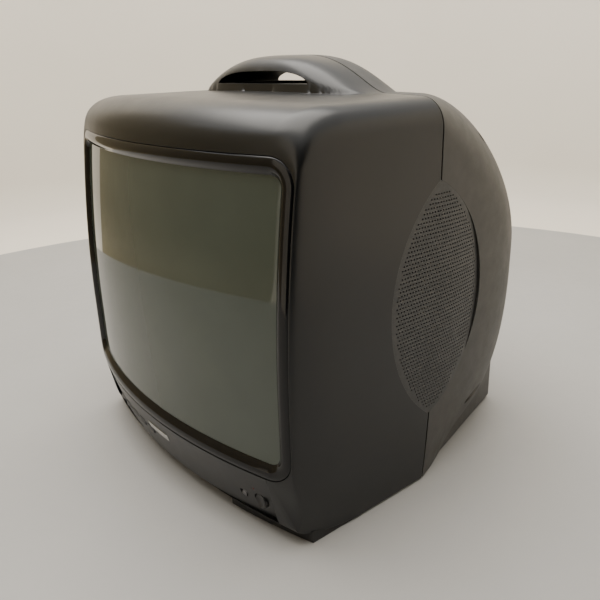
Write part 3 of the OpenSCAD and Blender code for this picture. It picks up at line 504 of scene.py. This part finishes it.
glass_g = 4 - bezel_w
rim_y = front_y + face_lean + 46
front = [dish(glass_g, glass_recess, k) for k in np.linspace(0.02, 1, 48)]
back = [dish(glass_g - glass_t + 2, glass_recess + glass_t, k) for k in np.linspace(0.05, 1, 12)]
rim = [front[-1] * (1, 0, 1) + (0, rim_y, 0), back[-1] * (1, 0, 1) + (0, rim_y, 0)]
glass = skin("picture_tube_face", front + rim + back[::-1], smooth=50)
place(glass, "cabinet", "glass_tube", "crt_faceplate")

# ---------------------------------------------------------------- control strip
cols, rows = 84, 16
loops = []
for c in range(cols + 1):
    x = strip_half * (2 * c / cols - 1)
    z = window_z - 0.3 + (strip_z0 - window_z + 0.3) * np.arange(rows + 1) / rows
    xs = np.full_like(z, x)
    front_side = np.column_stack([xs, face_y(xs, z), z])
    loops.append(np.vstack([front_side, (front_side + (0, wall, 0))[::-1]]))
strip = skin("control_strip_panel", loops)
cuts = []
for i in range(5):
    kx = key_x0 - i * key_pitch
    cuts.append(block("k", kx - key_w / 2 - 0.5, kx + key_w / 2 + 0.5, front_y - 5, front_y + 40,
                      key_z - key_h / 2 - 0.5, key_z + key_h / 2 + 1.1, 0.8, 2))
power_y = float(face_y(power_x, power_z))
cuts.append(rod("k", power_x, power_z, power_d + 0.8, front_y - 5, front_y + 60, n=72))
cuts.append(rod("k", power_x - 5, power_z + 11, 2.6, front_y - 5, front_y + 60))
cuts.append(block("k", power_x - 22.5, power_x - 15.5, front_y - 5, front_y + 60, power_z - 3, power_z + 3, 1, 2))
carve(strip, [join(cuts)])
place(strip, "cabinet", "abs_charcoal", "control_strip")

for i in range(5):
    kx = key_x0 - i * key_pitch
    y = float(face_y(kx, key_z))
    cap = block(f"key_cap_{i + 1}", kx - key_w / 2, kx + key_w / 2, y - 0.8, y + 5,
                key_z - key_h / 2, key_z + key_h / 2, 0.9, 4)
    stem = block("stem", kx - 2, kx + 2, y + 5, front_y + 30 - 5.8, key_z - 2, key_z + 2)
    place(join([cap, stem]), f"key_{i + 1}_body", "key_black", f"key_{i + 1}")

r = power_d / 2
knob = lathe("power_knob", power_x, power_z, [
    (0.4, power_y - 0.2), (2.4, power_y - 0.28), (4.2, power_y - 0.62), (5.3, power_y - 1.1), (5.8, power_y - 1.45),
    (6.1, power_y - 1.5), (6.35, power_y - 1.35), (r, power_y - 1.0), (r, power_y + 7), (2.5, power_y + 7),
    (2.5, power_y + 23)])
place(knob, "power_button_body", "key_black", "power_button")

lamp_y = float(face_y(power_x - 5, power_z + 11))
lamp = lathe("standby_lamp", power_x - 5, power_z + 11, [
    (0.1, lamp_y - 0.25), (0.5, lamp_y - 0.22), (0.9, lamp_y - 0.08), (1.15, lamp_y + 0.2), (1.2, lamp_y + 0.5),
    (1.2, lamp_y + 8)], 32)
place(lamp, "cabinet", "lamp_red", "lamp")

plate = []
for c in range(25):
    x = 36 * (c / 24 - 0.5)
    z0, z1 = window_z - 20.5, window_z - 13.5
    y0, y1 = face_y(x, z0), face_y(x, z1)
    plate.append(np.array([[x, y0 - 0.7, z0], [x, y1 - 0.7, z1], [x, y1 + 0.3, z1], [x, y0 + 0.3, z0]]))
badge = skin("blank_badge", plate)
rounded(badge, 0.35, 3)
place(badge, "cabinet", "badge_silver", "badge")


# ---------------------------------------------------------------- speaker grilles
def grille(name):
    """A pointed oval of 2 mm plate with staggered round holes pierced through it."""
    pitch_y, pitch_z, hole_r, plate_t = 3.3, 3.4, 0.85, 1.8
    n = 96
    z = grille_z + (grille_h / 2 - 0.6) * np.sin(np.linspace(-0.5, 0.5, n + 1) * math.pi)
    front = np.column_stack([seam_y - arc_y(z, grille_front) - 0.15, z])
    rear = np.column_stack([seam_y + arc_y(z, grille_rear) + 0.15, z])
    border = np.vstack([front, rear[::-1]])
    points = [tuple(p) for p in border]
    edges = [(i, (i + 1) % len(points)) for i in range(len(points))]
    rings, centres = [list(range(len(points)))], []
    row = 0
    zc = grille_z - grille_h / 2 + 8
    while zc < grille_z + grille_h / 2 - 8:
        y0, y1 = seam_y - arc_y(zc, grille_front) + 5, seam_y + arc_y(zc, grille_rear) - 5
        first = math.ceil((y0 - seam_y) / pitch_y - 0.5 * (row % 2))
        y = seam_y + (first + 0.5 * (row % 2)) * pitch_y
        while y < y1:
            start = len(points)
            for k in range(9):
                a = 2 * math.pi * k / 9
                points.append((y + hole_r * math.cos(a), zc + hole_r * math.sin(a)))
            edges += [(start + k, start + (k + 1) % 9) for k in range(9)]
            rings.append(list(range(start, start + 9)))
            centres.append((y, zc))
            y += pitch_y
        zc += pitch_z
        row += 1
    co, _, faces, orig, _, _ = delaunay_2d_cdt([Vector(p) for p in points], edges, [], 1, 1e-5)
    centres = np.array(centres)
    flat = np.array([tuple(p) for p in co])
    kept = []
    for f in faces:
        m = flat[list(f)].mean(0)
        if np.min(((centres - m) ** 2).sum(1)) > (hole_r * 0.97) ** 2:
            kept.append(tuple(f))
    index = {}
    for new, olds in enumerate(orig):
        for o in olds:
            index[o] = new
    x = side_x(flat[:, 0], flat[:, 1])
    face = np.column_stack([x, flat])
    back = face - (plate_t, 0, 0)
    m = len(face)
    made = kept + [tuple(v + m for v in f[::-1]) for f in kept]
    for ring in rings:
        for i, v in enumerate(ring):
            a, b = index[v], index[ring[(i + 1) % len(ring)]]
            made.append((a, b, b + m, a + m))
    return make(name, np.vstack([face, back]), made, 35)


right_grille = grille("grille_plate_right")
left_grille = twin(right_grille, "grille_plate_left")
place(right_grille, "cabinet", "grille_black", "grille_right")
place(left_grille, "cabinet", "grille_black", "grille_left")

# ---------------------------------------------------------------- front feet
def foot(name):
    """A wedge under the chin, rounded along its lower edge."""
    u = np.linspace(0.55, 0.98, 14)
    top = np.array([chin_at(v) for v in u])
    top = np.column_stack([top[:, 1], window_z + (foot_gap - window_z) * top[:, 0] - 0.3])
    top = top[top[:, 0] > 21]
    section = np.vstack([[22.5, 0], [21.4, 0.6], [21, 1.8], [21, top[0][1]], top, [top[-1][0] + 1, 0]])
    loops = [np.column_stack([np.full(len(section), x), face_y(x, window_z) + section[:, 0], section[:, 1]])
             for x in np.linspace(84, half_w - 8, 18)]
    return skin(name, loops)


foot_right = foot("front_foot_right")
feet = join([foot_right, twin(foot_right, "front_foot_left")])
place(feet, "cabinet", "rubber_black", "front_feet")

# ---------------------------------------------------------------- materials
def linear(code):
    """A six-figure sRGB colour as linear light."""
    parts = [int(code[i:i + 2], 16) / 255 for i in (0, 2, 4)]
    return [c / 12.92 if c <= 0.04045 else ((c + 0.055) / 1.055) ** 2.4 for c in parts] + [1]


def add(tree, kind, settings=None, links=None):
    """Adds a node, sets its properties and sockets, and links sockets to other nodes' outputs."""
    node = tree.nodes.new("ShaderNode" + kind)
    for key, value in (settings or {}).items():
        if key in node.inputs:
            node.inputs[key].default_value = value
        else:
            setattr(node, key, value)
    for key, (source, output) in (links or {}).items():
        tree.links.new(source.outputs[output], node.inputs[key])
    return node


def ramp(tree, source, stops):
    """A colour ramp with stops of place and colour, fed by a node and an output."""
    node = add(tree, "ValToRGB", {}, {"Fac": source})
    node.color_ramp.elements[0].position, node.color_ramp.elements[0].color = stops[0][0], stops[0][1]
    node.color_ramp.elements[1].position, node.color_ramp.elements[1].color = stops[-1][0], stops[-1][1]
    for place_, colour in stops[1:-1]:
        node.color_ramp.elements.new(place_).color = colour
    return node


def finish(name, base, other, rough, grain_mm, grain_depth, wear=None, edge=0.0, stretch=(1, 1, 1),
           cloud_mm=45, smudge_mm=14, worn_from=0.53, **own):
    """A surface with clouded colour, uneven sheen, fine grain and rubbed edges; own sets the shader's sockets."""
    material = bpy.data.materials.new(name)
    material.use_nodes = True
    tree = material.node_tree
    shader = tree.nodes["Principled BSDF"]
    for key, value in own.items():
        shader.inputs[key.replace("_", " ")].default_value = value
    where = add(tree, "TexCoord")
    laid = add(tree, "Mapping", {"Scale": stretch}, {"Vector": (where, "Object")})
    cloud = add(tree, "TexNoise", {"Scale": 1000 / cloud_mm, "Detail": 4, "Roughness": 0.6}, {"Vector": (laid, 0)})
    colour = ramp(tree, (cloud, "Fac"), [(0.3, linear(base)), (0.72, linear(other))])
    if wear:
        shape = add(tree, "NewGeometry")
        speck = add(tree, "TexNoise", {"Scale": 1000 / 2.2, "Detail": 5}, {"Vector": (laid, 0)})
        edges = add(tree, "MapRange", {"From Min": worn_from, "From Max": worn_from + 0.07, "To Max": 0.55},
                    {"Value": (shape, "Pointiness")})
        broken = add(tree, "Math", {"operation": "MULTIPLY"}, {0: (edges, 0), 1: (speck, "Fac")})
        colour = mixed(tree, broken, colour, wear)
    tree.links.new(colour.outputs[2] if colour.bl_idname == "ShaderNodeMix" else colour.outputs[0],
                   shader.inputs["Base Color"])
    smudge = add(tree, "TexNoise", {"Scale": 1000 / smudge_mm, "Detail": 7, "Roughness": 0.65}, {"Vector": (laid, 0)})
    sheen = add(tree, "MapRange", {"From Min": 0.3, "From Max": 0.75, "To Min": rough[0], "To Max": rough[1]},
                {"Value": (smudge, "Fac")})
    tree.links.new(sheen.outputs[0], shader.inputs["Roughness"])
    grain = add(tree, "TexNoise", {"Scale": 1000 / grain_mm, "Detail": 3}, {"Vector": (laid, 0)})
    bump = add(tree, "Bump", {"Strength": 1.0, "Distance": grain_depth * MM}, {"Height": (grain, "Fac")})
    if edge:
        soft = add(tree, "Bevel", {"samples": 6, "Radius": edge * MM})
        tree.links.new(soft.outputs[0], bump.inputs["Normal"])
    tree.links.new(bump.outputs[0], shader.inputs["Normal"])
    return material


def mixed(tree, factor, colour, other):
    """A colour mixed towards another by a factor."""
    node = add(tree, "Mix", {"data_type": "RGBA"})
    node.inputs[7].default_value = linear(other)
    tree.links.new(factor.outputs[0], node.inputs[0])
    tree.links.new(colour.outputs[0], node.inputs[6])
    return node


looks = {
    # ABS moulded in a polished tool: nearly black, satin, with broad soft reflections
    "abs_charcoal": finish("abs_satin_moulded", "090a0b", "0f1011", (0.29, 0.36), 0.7, 0.006, "2c2c2b", 0.5,
                           worn_from=0.57, smudge_mm=40, IOR=1.53, Specular_IOR_Level=0.42),
    # The same ABS moulded in a finely eroded tool: duller; its colour is made a little lighter than the front's as
    # painted sheen, standing in for the bright grazing reflection on the rear dome
    "abs_rear": finish("abs_eroded_moulded", "2a2927", "33322f", (0.46, 0.58), 0.5, 0.02, "4a4a47", 0.5,
                       worn_from=0.56, IOR=1.53),
    # ABS lacquered to a deep gloss: mirror highlights, faint dust
    "bezel_black": finish("abs_gloss_lacquered", "050507", "09090b", (0.04, 0.09), 9, 0.003, IOR=1.5,
                          Specular_IOR_Level=0.35),
    # ABS pierced plate, eroded finish: dull charcoal
    "grille_black": finish("abs_pierced", "191a1b", "242526", (0.45, 0.6), 0.5, 0.02, "4a4a4a", 0.0, IOR=1.53),
    # Aluminium brushed along its length under clear lacquer: silvery streaks
    "badge_silver": finish("aluminium_brushed", "b9b9b6", "d4d4d1", (0.25, 0.4), 0.25, 0.006, None, 0.2, (0.05, 1, 1),
                           Metallic=1.0, Coat_Weight=0.3),
    # ABS keys, satin and a little polished by fingers
    "key_black": finish("abs_keys", "0c0c0d", "151516", (0.25, 0.42), 0.5, 0.006, "4a4a48", 0.3, IOR=1.53),
    # Leaded glass over a grey-green phosphor screen: deep colour under a hard gloss
    "glass_tube": finish("tube_glass", "3c433c", "444b43", (0.03, 0.06), 30, 0.003, None, 0.0, cloud_mm=160, IOR=1.54),
    # Glass funnel painted outside with graphite: soft black over glass
    "glass_funnel": finish("glass_graphited", "1a1c1c", "262929", (0.3, 0.6), 2.0, 0.02, IOR=1.52),
    # Galvanised steel strip: spangled grey
    "band_steel": finish("steel_galvanised", "8b8d8f", "b2b4b6", (0.3, 0.5), 3.0, 0.01, "d0d0d0", 0.3, cloud_mm=9,
                         Metallic=1.0),
    # Zinc-plated steel screws: bright, slightly yellow
    "screw_steel": finish("steel_zinc_plated", "a8a89e", "c6c6bd", (0.22, 0.38), 0.6, 0.01, "e0e0dc", 0.2,
                          Metallic=1.0),
    # Enamelled copper wire wound in layers: shiny brown strands
    "copper_coil": finish("copper_enamelled_winding", "5f2a10", "a8612b", (0.22, 0.4), 0.7, 0.12, None, 0.0,
                          (1, 0.06, 1), cloud_mm=3, IOR=1.55),
    # Pressed and fired ferrite: dark grey, matt, gritty
    "ferrite": finish("ferrite_sintered", "26272a", "34353a", (0.55, 0.75), 0.5, 0.03, "5a5b60", 0.3, IOR=1.6),
    # Moulded rubber: black, dull, chalky at its edges
    "rubber_black": finish("rubber_moulded", "0a0a0b", "131314", (0.5, 0.68), 1.2, 0.03, "2a2a2a", 0.5, IOR=1.52),
    # Phenolic paper board: brown sheet with a faint fibre
    "board": finish("paper_phenolic", "6a4a22", "86633a", (0.4, 0.55), 1.0, 0.02, "a98a5c", 0.2, (1, 4, 1),
                    cloud_mm=20, IOR=1.55),
    # Heat-shrunk PVC sleeve: dark blue, glossy
    "electrolytic": finish("pvc_sleeve", "14203a", "1d2c4c", (0.2, 0.35), 1.5, 0.02, "6a7488", 0.3, IOR=1.53),
    # Glass-filled polyamide: black with pale specks
    "plastic_dark": finish("polyamide_filled", "17181a", "26272a", (0.4, 0.6), 0.8, 0.02, "3e3f42", 0.3, cloud_mm=6,
                           IOR=1.53),
    # Natural polyamide: cream, waxy
    "plastic_cream": finish("polyamide_natural", "c3bea8", "d6d1bd", (0.35, 0.5), 1.0, 0.01, "e6e2d4", 0.3, IOR=1.53,
                            Subsurface_Weight=0.15),
    # Extruded aluminium: dull silver drawn along the extrusion
    "heat_sink_alu": finish("aluminium_extruded", "9a9c9e", "babcbe", (0.35, 0.5), 0.4, 0.01, "d8d8d8", 0.3,
                            (1, 1, 0.05), Metallic=1.0),
    # Tin-plated sheet steel: bright with soft blooms
    "tin_plate": finish("steel_tin_plated", "a9abac", "c9cbcc", (0.18, 0.35), 1.0, 0.01, "e2e2e2", 0.3, cloud_mm=8,
                        Metallic=1.0),
    # Pressed steel with grey paint
    "speaker_steel": finish("steel_painted", "4a4b4e", "5a5b5e", (0.35, 0.5), 0.8, 0.02, "8d8d8d", 0.3, IOR=1.5),
    # Pressed paper pulp with a doped surface: black, fibrous
    "paper_cone": finish("paper_doped", "101010", "1c1b1a", (0.55, 0.75), 1.4, 0.08, None, 0.0, IOR=1.5),
    # Silicone-covered lead: dull red
    "lead_red": finish("silicone_covered", "5e1410", "741d17", (0.4, 0.55), 1.0, 0.01, "8c3a33", 0.3, IOR=1.42),
    # Tinted polycarbonate lens, unlit: deep red
    "lamp_red": finish("polycarbonate_lens", "4a0f0c", "5e1712", (0.08, 0.16), 0.8, 0.004, None, 0.2, IOR=1.58,
                       Coat_Weight=0.5),
    # Infrared window: almost black, purple in the light
    "eye_dark": finish("polycarbonate_infrared", "0d0508", "16090e", (0.06, 0.12), 0.8, 0.004, None, 0.2, IOR=1.58,
                       Coat_Weight=0.5),
}
slot_of = {row["node"]: row["material_slot"] for row in frame["record"]["subparts"]}
for name, node in nodes.items():
    node.data.materials.clear()
    node.data.materials.append(looks[slot_of[name]])
for name, slot_name in wears.items():
    obj = bpy.data.objects[name]
    obj.data.materials.clear()
    obj.data.materials.append(looks[slot_name])

# ---------------------------------------------------------------- floor, wall and light
floor_look = finish("painted_table", "a09f9d", "a6a5a3", (0.5, 0.62), 1.5, 0.01, None, 0.0, cloud_mm=300, IOR=1.5)
wall_look = finish("painted_wall", "ded7ca", "e4ddd0", (0.7, 0.8), 3.0, 0.02, None, 0.0, cloud_mm=500, IOR=1.5)
curtain_look = finish("woven_curtain", "1c1b1a", "242321", (0.8, 0.9), 3.0, 0.2, None, 0.0, (8, 8, 1),
                      cloud_mm=200, IOR=1.45)
panel_look = finish("stained_panel", "7c7156", "8a7f64", (0.6, 0.75), 2.0, 0.05, None, 0.0, (6, 6, 1),
                    cloud_mm=90, IOR=1.5)
turns = 96
ring_points = []
stage_line = [(60, 0), (600, 0), (860, 0), (910, 6), (955, 26), (985, 65), (1000, 130), (1000, 1000)]
for radius, height in stage_line:
    a = np.arange(turns) / turns * 2 * math.pi
    ring_points.append(np.column_stack([radius * np.cos(a), radius * np.sin(a), np.full(turns, height)]))
stand_faces = skin_faces(len(stage_line), turns, False) + [tuple(range(turns))]
stand = make("floor_and_wall", np.vstack(ring_points), stand_faces)
for look in (floor_look, wall_look, curtain_look, panel_look):
    stand.data.materials.append(look)
FLOOR_LOOK, WALL_LOOK, CURTAIN_LOOK, PANEL_LOOK = range(4)
for face in stand.data.polygons:
    way = math.degrees(math.atan2(face.center.y, face.center.x))
    hung = CURTAIN_LOOK if -66 < way < -2 else PANEL_LOOK if -170 < way < -98 else WALL_LOOK
    face.material_index = FLOOR_LOOK if face.center.z < 0.015 else hung


def lamp_panel(name, spot, aim, size, power, colour):
    """A soft rectangular light at a spot, aimed at a point."""
    light = bpy.data.lights.new(name, "AREA")
    light.shape, light.size, light.size_y = "RECTANGLE", size[0], size[1]
    light.energy, light.color = power, linear(colour)[:3]
    obj = bpy.data.objects.new(name, light)
    bpy.context.scene.collection.objects.link(obj)
    obj.location = spot
    obj.rotation_euler = (Vector(aim) - Vector(spot)).to_track_quat("-Z", "Y").to_euler()
    obj.visible_camera = False
    return obj


lamp_panel("ceiling_light", (-0.2, -0.1, 1.5), (0, 0, 0.2), (1.5, 1.5), 40, "fffaf2")
lamp_panel("window_light", (-0.9, -1.2, 1.0), (0, 0, 0.2), (0.9, 0.7), 8, "f2f6ff")
world = bpy.data.worlds.new("room")
bpy.context.scene.world = world
world.use_nodes = True
world.node_tree.nodes["Background"].inputs["Color"].default_value = linear("e4e3e0")
world.node_tree.nodes["Background"].inputs["Strength"].default_value = 1.4
